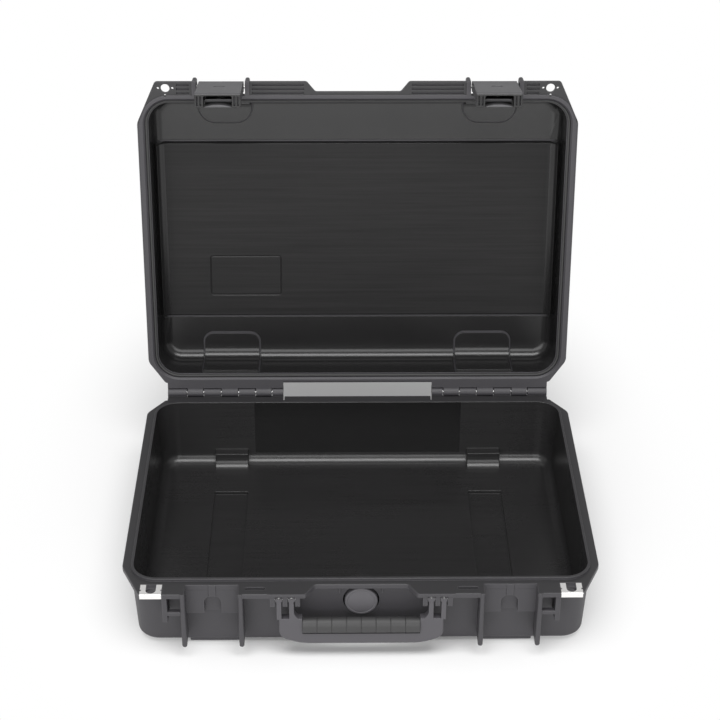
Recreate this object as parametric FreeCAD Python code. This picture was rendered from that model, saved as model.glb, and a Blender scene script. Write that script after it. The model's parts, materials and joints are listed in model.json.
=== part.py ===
import FreeCAD, Part
import math
import os

# A moulded protective hard case: a tub and a hinged lid with a sealed rim, two trigger
# latches, a folding handle, padlock eyes and a pressure vent. It stands open and empty.
# Millimetres. X runs to the right, Y to the back and Z up. The handle side faces -Y.
# The case is drawn closed around the middle of its opening, then the lid is swung open.

V = FreeCAD.Vector
ORIGIN = V(0, 0, 0)
X_AXIS = V(1, 0, 0)
Y_AXIS = V(0, 1, 0)
Z_AXIS = V(0, 0, 1)

# Rounded edges, and how far cuts and joins run past the faces that they meet
edge_round = 1.0
past = 1.0
overlap = 4.0
near = 0.1

# Tub, lid and their walls
inner_width = 470.0
inner_depth = 330.0
base_depth = 77.0
lid_depth = 49.0
wall = 3.2
draft_angle = 3.0
inner_corner = 25.0
inner_fillet = 12.0
outer_fillet = 5.5
open_angle = 98.0

# Rim: flange, tongue on the tub, rabbet and seal in the lid
flange_thickness = 6.0
flange_side = 11.8
flange_rear = 10.4
flange_front = 24.5
rim_reach = 9.0
rim_gap = 0.4
tongue_thickness = 3.0
tongue_height = 3.0
tongue_clearance = 0.5
gasket_height = 3.0
gasket_width = 3.0
lid_rim_height = 9.0
lid_rim_reach = 7.0
corner_round = 14.0
bend_round = 4.0
tongue_round = 0.8
lid_edge_round = 2.5
rabbet_flare = 2.0
bead_reach = 9.5
bead_proud = 1.5
front_chamfer_y = 47.0
front_chamfer_x = 21.4
rear_chamfer_y = 27.0
rear_chamfer_x = 19.0
recess_to_comb = 14.9
lid_recess_depth = 11.5
recess_slope = 9.5

# Skids, rear feet and the pads in the rear corner of the tub
foot_height = 4.2
foot_width = 52.0
foot_round = 3.5
skid_front_gap = 3.0
skid_rear_gap = 61.0
hollow_inset = 87.0
hollow_width = 39.0
hollow_front_gap = 19.0
rear_foot_length = 40.0
rear_foot_gap = 8.0
rear_pad_inset = 85.0
rear_pad_width = 38.5
rear_pad_height = 16.0
rear_pad_reach = 10.5
pad_foot_lap = 0.3

# Hinge
hinge_reach = 12.6
hinge_rise = 3.0
knuckle_radius = 5.5
knuckle_widths = [13.0, 18.5, 19.5, 19.5, 20.0, 18.5, 22.5]
knuckle_gap = 0.9
land_gap = 0.7
hood_thickness = 2.0
hood_from = 63.0
hood_to = 158.0
hood_steps = 4
shelf_reach = 1.0
ledge_reach = 7.6
ledge_end_gap = 1.5
arm_far_angle = 60.0
arm_heel = 2.0
hinge_end_inset = 21.6
hinge_pin_radius = 2.0
hinge_pin_inset = 1.0

# Clearances of pins: tight where the pin is held, running where a part turns on it
held_clearance = 0.03
running_clearance = 0.10

# Latch bays
latch_inset = 82.5
latch_bay_gap = 2.0
rib_thickness = 5.0
rib_proud = 1.0
rib_drop = 70.0
rib_round = 4.0
rib_edge = 2.2
apron_drop = 36.6
apron_proud = 0.4
apron_slot_width = 17.2
apron_slot_top = 14.3
apron_key_width = 7.2
apron_key_drop = 16.0
apron_key_proud = 1.0
fin_height = 24.0
fin_round = 8.0

# Latch lever, its trigger and spring
latch_width = 50.0
latch_arm_width = 9.5
latch_drop = 54.0
latch_plate = 3.0
latch_set_back = 2.5
latch_pivot_back = 9.0
latch_pivot_rise = 15.0
latch_boss_radius = 6.0
latch_pin_radius = 2.0
latch_inner_gap = 2.0
latch_swing = 3.5
window_round = 2.0
toe_gap = 1.6
arm_slot_width = 1.8
arm_slot_pitch = 3.8
arm_slot_depth = 6.0
arm_slot_margin = 3.5
oval_drop = 17.0
oval_length = 13.0
oval_height = 7.0
oval_depth = 0.6
trigger_side_gap = 0.8
trigger_pivot_drop = 12.0
trigger_pivot_back = 11.5
trigger_boss_radius = 3.0
trigger_plate = 3.0
trigger_inner_gap = 1.6
trigger_end_gap = 2.0
trigger_pin_radius = 1.5
trigger_pin_hold = 7.0
hook_bite = 2.4
hook_gap = 0.4
hook_height = 5.0
lip_depth = 2.8
lip_arc = 46.0
lip_round = 0.8
spring_radius = 2.8
spring_wire = 0.6
spring_turns = 4
spring_drop = 22.0
spring_seat_gap = 0.05
spring_free_gap = 0.3

# Handle and its comb of lugs
handle_pivot_back = 5.0
handle_pivot_drop = 9.5
comb_to_latch = 90.1
comb_teeth_count = 3
comb_tooth = 4.9
comb_space = 7.9
comb_bottom = 18.8
comb_round = 5.0
comb_band = 3.5
comb_band_proud = 0.6
prong_width = 4.8
prong_radius = 4.0
prong_hub_gap = 0.3
prong_hole_radius = 1.2
notch_room = 1.5
handle_pin_radius = 2.0
yoke_width = 24.0
handle_thickness = 8.0
yoke_top = 33.0
yoke_gap = 1.9
handle_corner_drop = 58.0
handle_bottom = 66.0
handle_corner_run = 23.0
handle_corner_round = 12.0
handle_bottom_round = 60.0
handle_edge = 2.0
bow_round = 12.0
grip_top = 35.7
grip_bottom = 52.7
grip_thickness = 14.0
grip_round = 6.0
grip_grooves = 7
grip_groove_width = 2.0
grip_groove_depth = 1.2
core_height = 10.0
core_thickness = 5.0

# Padlock eyes, strap loops and flange slots
eye_inset = 32.8
eye_back = 7.5
eye_radius = 5.0
clip_width = 22.0
clip_length = 16.5
clip_thickness = 1.5
clip_bend = 0.9
clip_notch_radius = 5.2
clip_nick = 1.2
web_window_radius = 1.5
web_window_offset = 8.0
loop_to_clip = 2.6
loop_rib_width = 5.4
loop_rib_drop = 36.4
loop_bar_top = 23.9
loop_bar_height = 4.8
loop_bar_thickness = 6.0
pill_to_latch = 44.0
pill_length = 21.0
pill_width = 4.0
pill_back = 9.5
channel_depth = 2.5
channel_groove = 2.4
channel_backs = [2.6, 7.2, 11.8]
channel_margin = 3.0

# Pressure vent in the front wall
vent_drop = 24.9
vent_cap_radius = 17.0
vent_cap_proud = 3.0
vent_cap_round = 2.0
vent_pocket_radius = 18.7
vent_pocket_depth = 12.0
vent_rib_x = 22.0
vent_rib_width = 1.6
vent_rib_height = 9.0
vent_rib_proud = 1.2
vent_stem_radius = 6.0
vent_bore_radius = 3.5
vent_flange_radius = 10.0
vent_flange_height = 2.0
oring_radius = 0.75
oring_ring_radius = 7.6
vent_nut_across = 18.0
vent_nut_height = 4.5
vent_thread_spare = 2.5
membrane_radius = 4.6
membrane_thickness = 0.6

# Inside of the lid
panel_inset_y = 57.5
panel_inset_x = 5.0
panel_rise = 2.5
panel_slope = 2.0
front_tab_width = 59.0
front_tab_length = 34.0
front_tab_round = 18.0
rear_tab_width = 65.0
rear_tab_length = 34.7
rear_tab_round = 11.0
tab_inset = 84.5
moat_width = 2.0
moat_depth = 1.2
label_inset_x = 56.0
label_inset_y = 26.0
label_width = 85.0
label_height = 50.8
label_groove = 2.2
label_depth = 1.0
label_round = 4.0
groove_flat = 0.3

# Places that follow from the sizes above
part_z = foot_height + wall + base_depth
floor_z = foot_height + wall
lid_z = part_z + rim_gap
half_x = inner_width / 2
half_y = inner_depth / 2
front_edge = -half_y - flange_front
rear_edge = half_y + flange_rear
side_edge = half_x + flange_side
front_rim = -half_y - rim_reach
lid_recess_y = front_edge + lid_recess_depth
wall_front = -half_y - wall
hinge_y = rear_edge + hinge_reach
hinge_z = part_z + hinge_rise
land_y = hinge_y - knuckle_radius - land_gap
taper = math.tan(math.radians(draft_angle))
latch_x = half_x - latch_inset
eye_x = side_edge - eye_inset
hollow_x = half_x - hollow_inset
rear_pad_x = half_x - rear_pad_inset
tab_x = half_x - tab_inset
pill_x = latch_x - pill_to_latch
comb_inner_x = latch_x - comb_to_latch
recess_inner_x = comb_inner_x - recess_to_comb
yoke_inner_x = comb_inner_x - yoke_gap
handle_half_width = yoke_inner_x + yoke_width
handle_bottom_half = handle_half_width - handle_corner_run
skid_rear_y = half_y - skid_rear_gap
panel_half_x = half_x - panel_inset_x
panel_half_y = half_y - panel_inset_y
front_tab_y = half_y - front_tab_length
rear_tab_y = half_y - rear_tab_length
label_x0 = -panel_half_x + label_inset_x
label_y1 = panel_half_y - label_inset_y
rib_half = latch_width / 2 + latch_bay_gap + rib_thickness / 2
loop_rib_x = eye_x - clip_width / 2 - loop_to_clip
apron_y = front_rim + apron_proud
latch_out = front_edge + latch_set_back
latch_in = apron_y - latch_inner_gap
latch_pivot_y = front_edge + latch_pivot_back
latch_pivot_z = part_z + latch_pivot_rise
trigger_pivot_y = front_edge + trigger_pivot_back
trigger_pivot_z = part_z - trigger_pivot_drop
handle_pivot_y = front_edge + handle_pivot_back
handle_pivot_z = part_z - handle_pivot_drop
eye_y = front_edge + eye_back
vent_z = part_z - vent_drop
pocket_back = wall_front + vent_pocket_depth
tub_back = wall_front + wall
rib_tip = front_edge - rib_proud
flange_low = part_z - flange_thickness


def block(x0, x1, y0, y1, z0, z1):
    return Part.makeBox(x1 - x0, y1 - y0, z1 - z0, V(x0, y0, z0))


def rod_x(x0, x1, y, z, radius):
    return Part.makeCylinder(radius, x1 - x0, V(x0, y, z), X_AXIS)


def rod_y(y0, y1, z, radius):
    return Part.makeCylinder(radius, y1 - y0, V(0, y0, z), Y_AXIS)


def rod_z(x, y, z0, z1, radius):
    return Part.makeCylinder(radius, z1 - z0, V(x, y, z0), Z_AXIS)


def prism(points, direction):
    """A flat outline of points, swept along a direction."""
    wire = Part.makePolygon(points + points[:1])
    return Part.Face(wire).extrude(direction)


def plan_prism(points, z0, z1):
    return prism([V(x, y, z0) for x, y in points], V(0, 0, z1 - z0))


def side_prism(points, x0, x1):
    return prism([V(x0, y, z) for y, z in points], V(x1 - x0, 0, 0))


def front_prism(points, y0, y1):
    return prism([V(x, y0, z) for x, z in points], V(0, y1 - y0, 0))


def round_edges(solid, radius, direction, picked):
    """Fillet the straight edges along a direction whose middle is picked."""
    chosen = []
    for edge in solid.Edges:
        if not isinstance(edge.Curve, Part.Line):
            continue
        along = abs(edge.tangentAt(edge.FirstParameter).dot(direction))
        if along > 0.999 and picked(edge.CenterOfMass):
            chosen.append(edge)
    return solid.makeFillet(radius, chosen)


def round_rim(solid, radius, z):
    """Fillet the edges that lie flat at one height."""
    flat = []
    for edge in solid.Edges:
        if edge.BoundBox.ZLength < near and abs(edge.CenterOfMass.z - z) < near:
            flat.append(edge)
    return solid.makeFillet(radius, flat)


def mirrored(shape):
    return shape.mirror(ORIGIN, X_AXIS)


def both_sides(shapes):
    return shapes + [mirrored(shape) for shape in shapes]


def joined(first, others):
    return first.fuse(others).removeSplitter()


def rounded_outline(width, depth, corner, z):
    """A rectangle with round corners, as a closed wire."""
    edges = []
    ends = []
    for step, (side_x, side_y) in enumerate([(1, -1), (1, 1), (-1, 1), (-1, -1)]):
        centre = V(side_x * (width / 2 - corner), side_y * (depth / 2 - corner), z)
        spots = []
        for share in (0, 0.5, 1):
            angle = math.radians(-90 + 90 * (step + share))
            spots.append(centre + V(corner * math.cos(angle), corner * math.sin(angle), 0))
        edges.append(Part.Arc(*spots).toShape())
        ends.append((spots[0], spots[2]))
    for step in range(4):
        edges.append(Part.LineSegment(ends[step][1], ends[(step + 1) % 4][0]).toShape())
    return Part.Wire(Part.__sortEdges__(edges))


def rim_prism(offset, z0, z1):
    """The plan of the opening, grown by an offset, between two heights."""
    width = inner_width + 2 * offset
    depth = inner_depth + 2 * offset
    wire = rounded_outline(width, depth, inner_corner + offset, z0)
    return Part.Face(wire).extrude(V(0, 0, z1 - z0))


def tapered_tub(offset, end_z, fillet):
    """The opening grown by an offset, drawn in with the draft to a closed, rounded end."""
    inset = abs(end_z - part_z) * taper
    wires = []
    for shrink, z in ((0, part_z), (inset, end_z)):
        grow = offset - shrink
        width = inner_width + 2 * grow
        depth = inner_depth + 2 * grow
        wires.append(rounded_outline(width, depth, inner_corner + grow, z))
    tub = Part.makeLoft(wires, True, True)
    return round_rim(tub, fillet, end_z)


def flange_plate(z0, z1, recess_y, low_round):
    """The flange's outline: chamfered corners and a recess in the middle of the front."""
    right = [
        (recess_inner_x, recess_y),
        (recess_inner_x + recess_slope, front_edge),
        (side_edge - front_chamfer_x, front_edge),
        (side_edge, front_edge + front_chamfer_y),
        (side_edge, rear_edge - rear_chamfer_y),
        (side_edge - rear_chamfer_x, rear_edge),
    ]
    left = [(-x, y) for x, y in reversed(right)]
    plate = plan_prism(right + left, z0, z1)
    plate = round_edges(plate, corner_round, Z_AXIS, lambda c: abs(c.x) > side_edge - past)
    plate = round_edges(plate, bend_round, Z_AXIS, lambda c: abs(c.x) < side_edge - corner_round)
    return round_rim(round_rim(plate, low_round, z0), edge_round, z1)


def knuckle_spans():
    """Inner and outer X of each knuckle, from the middle of the case outwards."""
    spans = []
    whole = sum(knuckle_widths) + knuckle_gap * (len(knuckle_widths) - 1)
    start = side_edge - hinge_end_inset - whole
    for width in knuckle_widths:
        spans.append((start, start + width))
        start += width + knuckle_gap
    return spans


def barrel_point(angle):
    """A point on the hinge barrel's outline, in Y and Z."""
    turn = math.radians(angle)
    return hinge_y + knuckle_radius * math.cos(turn), hinge_z + knuckle_radius * math.sin(turn)


def barrel_front(z):
    """The point at one height on the side of the barrel that faces the case."""
    return hinge_y - math.sqrt(knuckle_radius ** 2 - (z - hinge_z) ** 2), z


def hinge_land(z0, z1):
    """The flange widened along one hinge, close up to the barrels."""
    spans = knuckle_spans()
    return block(spans[0][0], spans[-1][1], rear_edge - overlap, land_y, z0, z1)


def hinge_shelf():
    """A ledge of the tub under the barrels of one hinge."""
    spans = knuckle_spans()
    return block(spans[0][0], spans[-1][1], rear_edge, hinge_y + shelf_reach,
                 flange_low, hinge_z - knuckle_radius - land_gap)


def rear_ledge():
    """The tub's flange widened between the two hinges."""
    half = knuckle_spans()[0][0] - ledge_end_gap
    return block(-half, half, rear_edge - overlap, rear_edge + ledge_reach, flange_low, part_z)


def hinge_hood():
    """A curved cover of the lid that follows the barrels of one hinge round."""
    spans = knuckle_spans()
    x0 = spans[0][0]
    x1 = spans[-1][1]
    inner = knuckle_radius + land_gap
    outer = inner + hood_thickness
    fan = [(hinge_y, hinge_z)]
    for step in range(hood_steps + 1):
        turn = math.radians(hood_from + (hood_to - hood_from) * step / hood_steps)
        fan.append((hinge_y + 2 * outer * math.cos(turn), hinge_z + 2 * outer * math.sin(turn)))
    ring = rod_x(x0, x1, hinge_y, hinge_z, outer).cut(rod_x(x0, x1, hinge_y, hinge_z, inner))
    return ring.common(side_prism(fan, x0, x1))


def knuckles(spans, arm_points):
    """Barrels on the hinge line with the arms that carry them."""
    made = []
    for x0, x1 in spans:
        made.append(rod_x(x0, x1, hinge_y, hinge_z, knuckle_radius))
        made.append(side_prism(arm_points, x0, x1))
    return both_sides(made)


def hinge_bore(clearance):
    spans = knuckle_spans()
    radius = hinge_pin_radius + clearance
    return rod_x(spans[0][0] - past, spans[-1][1] + past, hinge_y, hinge_z, radius)


def bay_ribs(foot_z, end_z, radius):
    """The pair of ribs either side of one latch, rounded at their free end and outer edges."""
    points = [(tub_back, end_z), (rib_tip, end_z), (rib_tip, foot_z), (tub_back, foot_z)]
    ribs = []
    for side in (-1, 1):
        middle = latch_x + side * rib_half
        rib = side_prism(points, middle - rib_thickness / 2, middle + rib_thickness / 2)
        rib = round_edges(rib, radius, X_AXIS,
                          lambda c: abs(c.y - rib_tip) < near and abs(c.z - end_z) < near)
        outer = []
        for edge in rib.Edges:
            place = edge.CenterOfMass
            held = place.y > tub_back - near or abs(place.z - foot_z) < near
            if edge.BoundBox.XLength < near and not held:
                outer.append(edge)
        ribs.append(rib.makeFillet(rib_edge, outer))
    return ribs


def bay_cut(z0, z1):
    half = rib_half - rib_thickness / 2
    return block(latch_x - half, latch_x + half, front_edge - overlap, front_rim, z0, z1)


def comb_teeth():
    teeth = []
    bottom = part_z - comb_bottom
    for number in range(comb_teeth_count):
        x0 = comb_inner_x + number * (comb_tooth + comb_space)
        tooth = block(x0, x0 + comb_tooth, front_edge, tub_back, bottom, part_z)
        teeth.append(round_edges(tooth, comb_round, X_AXIS,
                                 lambda c: abs(c.y - front_edge) < near and abs(c.z - bottom) < near))
    return teeth


def comb_notches():
    """Room for the prongs' hubs in the underside of the flange, between the teeth."""
    notches = []
    back = handle_pivot_y + prong_radius + notch_room
    for number in range(comb_teeth_count - 1):
        x0 = comb_inner_x + comb_tooth + number * (comb_tooth + comb_space)
        notches.append(block(x0, x0 + comb_space, front_edge - past, back,
                             flange_low - past, part_z - comb_band))
    return notches


def comb_end_x():
    return comb_inner_x + comb_teeth_count * (comb_tooth + comb_space) - comb_space


def strap_loop():
    """A bar held between the outer latch rib and a small rib of its own."""
    front = front_edge + rib_proud
    bar_top = part_z - loop_bar_top
    rib = block(loop_rib_x - loop_rib_width / 2, loop_rib_x + loop_rib_width / 2,
                front, tub_back, part_z - loop_rib_drop, part_z)
    rib = round_edges(rib, edge_round, Z_AXIS, lambda c: abs(c.y - front) < near)
    bar = block(latch_x + rib_half, loop_rib_x, front, front + loop_bar_thickness,
                bar_top - loop_bar_height, bar_top)
    bar = round_edges(bar, edge_round, X_AXIS, lambda c: True)
    return [rib, bar]


def pill_slot(z0, z1):
    y = front_edge + pill_back
    radius = pill_width / 2
    reach = (pill_length - pill_width) / 2
    slot = block(pill_x - reach, pill_x + reach, y - radius, y + radius, z0, z1)
    ends = [rod_z(x, y, z0, z1, radius) for x in (pill_x - reach, pill_x + reach)]
    return slot.fuse(ends)


def clip_seat():
    """What the bent steel clip takes out of the flange: its top, front and underside."""
    x0 = eye_x - clip_width / 2
    x1 = eye_x + clip_width / 2
    low = flange_low
    back = front_edge + clip_length
    return [
        block(x0, x1, front_edge - overlap, back, part_z - clip_thickness, part_z + overlap),
        block(x0, x1, front_edge - overlap, back, low - overlap, low + clip_thickness),
        block(x0, x1, front_edge - overlap, front_edge + clip_thickness, low, part_z),
    ]


def latch_bay():
    """What stands in one latch bay of the tub: ribs, the apron that the hook catches, its key."""
    ribs = bay_ribs(part_z, part_z - rib_drop, rib_round)
    bay_half = rib_half - rib_thickness / 2
    apron = block(latch_x - bay_half, latch_x + bay_half, apron_y, tub_back,
                  part_z - apron_drop, part_z)
    key = block(latch_x - apron_key_width / 2, latch_x + apron_key_width / 2,
                apron_y - apron_key_proud, tub_back, part_z - apron_key_drop, part_z - rim_gap)
    return ribs + [apron, key]


def apron_slot():
    """The arched slot in the apron, open at its lower edge."""
    radius = apron_slot_width / 2
    top = part_z - apron_slot_top - radius
    slot = block(latch_x - radius, latch_x + radius, front_edge, wall_front,
                 part_z - apron_drop - past, top)
    arch = Part.makeCylinder(radius, wall_front - front_edge, V(latch_x, front_edge, top), Y_AXIS)
    return [slot, arch]


def feet():
    """A long skid and a short rear foot under one side of the tub."""
    x0 = latch_x - foot_width / 2
    x1 = latch_x + foot_width / 2
    rear_end = half_y - rear_foot_gap
    skid = block(x0, x1, -half_y + skid_front_gap, skid_rear_y, 0, floor_z + past)
    rear_foot = block(x0, x1, rear_end - rear_foot_length, rear_end, 0, floor_z + past)
    return [round_rim(foot, foot_round, 0) for foot in (skid, rear_foot)]


def skid_hollow():
    """The hollow of a skid, seen as a channel in the floor of the tub."""
    return block(hollow_x - hollow_width / 2, hollow_x + hollow_width / 2,
                 -half_y + hollow_front_gap, skid_rear_y - wall - foot_height,
                 wall, floor_z + past)


def rear_pad():
    """A pad that thickens the foot of the tub's rear wall, with a hollow curve down to the floor."""
    x0 = rear_pad_x - rear_pad_width / 2
    x1 = rear_pad_x + rear_pad_width / 2
    face = half_y - base_depth * taper - rear_pad_reach
    foot = face - inner_fillet
    curve_z = floor_z + inner_fillet - pad_foot_lap
    pad = block(x0, x1, foot, half_y, floor_z - past, floor_z + rear_pad_height)
    curve = rod_x(x0 - past, x1 + past, foot, curve_z, inner_fillet)
    above = block(x0 - past, x1 + past, foot - past, face, curve_z, floor_z + rear_pad_height + past)
    return pad.cut([curve, above])


def vent_rib():
    """A short rib on the front wall, beside the vent's pocket."""
    return block(vent_rib_x - vent_rib_width / 2, vent_rib_x + vent_rib_width / 2,
                 wall_front - vent_rib_proud, tub_back, flange_low - vent_rib_height, part_z)


def base_arm():
    """Outline of the arms that carry the tub's knuckles."""
    return [
        (rear_edge - overlap, flange_low),
        (rear_edge + arm_heel, flange_low),
        barrel_point(-arm_far_angle),
        barrel_front(part_z),
        (rear_edge - overlap, part_z),
    ]


def base_shell():
    outer = tapered_tub(wall, foot_height, outer_fillet)
    cavity = tapered_tub(0, floor_z, inner_fillet)
    band = block(comb_inner_x - comb_tooth, comb_end_x() + comb_tooth / 2,
                 front_edge - comb_band_proud, front_edge + overlap, part_z - comb_band, part_z)
    flange = flange_plate(flange_low, part_z, front_rim, edge_round)
    flange = flange.cut(both_sides([bay_cut(flange_low - past, part_z + past)]))
    tongue = rim_prism(tongue_thickness, part_z - past, part_z + tongue_height)
    tongue = round_rim(tongue, tongue_round, part_z + tongue_height)
    land = hinge_land(flange_low, part_z)
    added = both_sides(latch_bay() + comb_teeth() + strap_loop() + feet() + [band, land, hinge_shelf()])
    added += knuckles(knuckle_spans()[0::2], base_arm())
    shell = outer.fuse([flange, tongue, rear_ledge()] + added)

    mouth = rim_prism(0, part_z, part_z + tongue_height + past)
    eye = rod_z(eye_x, eye_y, flange_low - past, part_z + past, eye_radius)
    pin_bore = rod_x(comb_inner_x - past, comb_end_x() + past, handle_pivot_y, handle_pivot_z,
                     handle_pin_radius + held_clearance)
    pill = pill_slot(flange_low - past, part_z + past)
    cuts = apron_slot() + clip_seat() + comb_notches()
    cuts += [skid_hollow(), eye, pin_bore, pill, hinge_bore(held_clearance)]
    shell = shell.cut([cavity, mouth] + both_sides(cuts))

    pads = outer.common(Part.makeCompound(both_sides([rear_pad()])))
    pocket_wall = rod_y(wall_front + wall / 2, pocket_back + wall, vent_z, vent_pocket_radius + wall)
    shell = shell.fuse([pads, pocket_wall] + both_sides([vent_rib()]))
    pocket = rod_y(front_edge, pocket_back, vent_z, vent_pocket_radius)
    stem_bore = rod_y(pocket_back - past, pocket_back + wall + past, vent_z,
                      vent_stem_radius + held_clearance)
    return shell.cut([pocket, stem_bore]).removeSplitter()


def tab_prism(width, y_edge, y_wall, radius):
    """A lid tab in plan: from the wall inwards, with its two free corners rounded."""
    low = min(y_edge, y_wall)
    high = max(y_edge, y_wall)
    tab = block(tab_x - width / 2, tab_x + width / 2, low, high, part_z, part_z + lid_depth + past)
    return round_edges(tab, radius, Z_AXIS, lambda c: abs(c.y - y_edge) < near)


def tab_moats(front_tab, rear_tab):
    """The plan of the narrow grooves round the tabs and along the long edges of the panel."""
    wide = 2 * moat_width
    end_z = part_z + lid_depth + past
    front = tab_prism(front_tab_width + wide, -front_tab_y + moat_width, -half_y,
                      front_tab_round + moat_width)
    rear = tab_prism(rear_tab_width + wide, rear_tab_y - moat_width, half_y,
                     rear_tab_round + moat_width)
    moats = both_sides([front.cut(front_tab), rear.cut(rear_tab)])
    for y0 in (-panel_half_y - moat_width, panel_half_y):
        moats.append(block(-panel_half_x, panel_half_x, y0, y0 + moat_width, part_z, end_z))
    return moats


def panel_slab(top_z):
    """The block that bounds the lid's raised panel, with sloping long edges."""
    foot = panel_half_y
    edge = panel_half_y - panel_slope
    points = [
        (-foot, top_z + past), (-foot, top_z),
        (-edge, top_z - panel_rise), (-edge, top_z - inner_fillet),
        (edge, top_z - inner_fillet), (edge, top_z - panel_rise),
        (foot, top_z), (foot, top_z + past),
    ]
    return side_prism(points, -panel_half_x, panel_half_x)


def label_frame(z):
    """A groove with sloping sides round the place for a label, cut up from the panel's face."""
    side = (label_groove - groove_flat) / 2
    solids = []
    for mouth, bottom in ((0, side), (label_groove, label_groove - side)):
        wires = []
        for inset, level in ((mouth, z - near), (bottom, z + label_depth)):
            wires.append(rounded_outline(label_width - 2 * inset, label_height - 2 * inset,
                                         label_round - inset, level))
        solids.append(Part.makeLoft(wires, True, True))
    frame = solids[0].cut(solids[1])
    return frame.translated(V(label_x0 + label_width / 2, label_y1 - label_height / 2, 0))


def bead_step():
    """What is taken off the lid's front flange, so that a bead stands round the opening."""
    strip = block(-side_edge - past, side_edge + past, front_edge - past, front_edge + front_chamfer_y,
                  lid_z - past, lid_z + bead_proud)
    return strip.cut(rim_prism(bead_reach, lid_z - overlap, lid_z + overlap))


def rabbet_mouth():
    """The flared mouth of the lid's rabbet."""
    wires = []
    for offset, z in ((rabbet_flare + rim_gap, part_z), (0, lid_z + rabbet_flare)):
        grow = tongue_thickness + tongue_clearance + offset
        wires.append(rounded_outline(inner_width + 2 * grow, inner_depth + 2 * grow,
                                     inner_corner + grow, z))
    return Part.makeLoft(wires, True, True)


def eye_windows():
    """Small holes through the web round the lid's padlock eye."""
    windows = []
    for turn in (0, 90, 180):
        angle = math.radians(turn)
        x = eye_x + web_window_offset * math.cos(angle)
        y = eye_y + web_window_offset * math.sin(angle)
        windows.append(rod_z(x, y, lid_z - past, lid_z + flange_thickness + past, web_window_radius))
    return windows


def flange_grooves():
    """Grooves moulded into the underside of the lid's front flange."""
    inner_rib = latch_x - rib_half - rib_thickness / 2
    outer_rib = latch_x + rib_half + rib_thickness / 2
    eye_inner = eye_x - web_window_offset - web_window_radius
    grooves = []
    for x0, x1 in ((recess_inner_x + recess_slope, inner_rib), (outer_rib, eye_inner)):
        for back in channel_backs:
            y0 = front_edge + back
            grooves.append(block(x0 + channel_margin, x1 - channel_margin, y0, y0 + channel_groove,
                                 lid_z - past, lid_z + bead_proud + channel_depth))
    return grooves


def lid_arm():
    """Outline of the arms that carry the lid's knuckles."""
    return [
        (rear_edge - overlap, lid_z),
        barrel_front(lid_z),
        barrel_point(arm_far_angle),
        (rear_edge - arm_heel, lid_z + flange_thickness),
        (rear_edge - overlap, lid_z + flange_thickness),
    ]


def lid_shell():
    top_z = part_z + lid_depth
    outer = tapered_tub(wall, top_z + wall, inner_fillet + wall)
    cavity = tapered_tub(0, top_z, inner_fillet)
    liner = cavity.cut(tapered_tub(-panel_rise, top_z - panel_rise, inner_fillet))
    fins = bay_ribs(lid_z, lid_z + fin_height, fin_round)
    flange = flange_plate(lid_z, lid_z + flange_thickness, lid_recess_y, lid_edge_round)
    flange = flange.cut(both_sides([bay_cut(lid_z - past, lid_z + lid_rim_height)]) + [bead_step()])
    rim = rim_prism(lid_rim_reach, lid_z, lid_z + lid_rim_height)
    rim = round_rim(rim, edge_round, lid_z + lid_rim_height)
    lands = both_sides([hinge_land(lid_z, lid_z + flange_thickness), hinge_hood()])
    hinges = knuckles(knuckle_spans()[1::2], lid_arm())
    shell = outer.fuse([flange, rim] + both_sides(fins) + lands + hinges)

    groove_top = part_z + tongue_height + rim_gap + gasket_height
    rabbet = rim_prism(tongue_thickness + tongue_clearance, part_z - past, groove_top)
    eye = rod_z(eye_x, eye_y, lid_z - past, lid_z + flange_thickness + past, eye_radius)
    pin_bore = rod_x(latch_x - rib_half - rib_thickness, latch_x + rib_half + rib_thickness,
                     latch_pivot_y, latch_pivot_z, latch_pin_radius + held_clearance)
    dish = block(-panel_half_x + inner_fillet, panel_half_x - inner_fillet,
                 -panel_half_y + panel_rise, panel_half_y - panel_rise,
                 top_z + wall - panel_rise, top_z + wall + past)
    cuts = [eye, pin_bore, hinge_bore(running_clearance)] + eye_windows() + flange_grooves()
    shell = shell.cut([cavity, rabbet, rabbet_mouth(), dish] + both_sides(cuts))

    panel = liner.common(panel_slab(top_z))
    front_tab = tab_prism(front_tab_width, -front_tab_y, -half_y, front_tab_round)
    rear_tab = tab_prism(rear_tab_width, rear_tab_y, half_y, rear_tab_round)
    upper = block(-half_x - wall, half_x + wall, -half_y - wall, half_y + wall,
                  part_z + lid_rim_height, top_z + wall)
    tabs = liner.common(Part.makeCompound(both_sides([front_tab, rear_tab]))).common(upper)
    label = label_frame(top_z - panel_rise)
    skin = tapered_tub(moat_depth, top_z + moat_depth, inner_fillet + moat_depth).cut(cavity)
    moats = skin.common(Part.makeCompound(tab_moats(front_tab, rear_tab))).common(upper)
    return shell.fuse([panel, tabs]).cut([label, moats]).removeSplitter()


def lid_gasket():
    low = part_z + tongue_height + rim_gap
    inner = tongue_thickness + tongue_clearance - gasket_width
    ring = rim_prism(inner + gasket_width, low, low + gasket_height)
    return ring.cut(rim_prism(inner, low - past, low + gasket_height + past))


def hinge_pin():
    spans = knuckle_spans()
    return rod_x(spans[0][0] + hinge_pin_inset, spans[-1][1] - hinge_pin_inset,
                 hinge_y, hinge_z, hinge_pin_radius)


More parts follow.
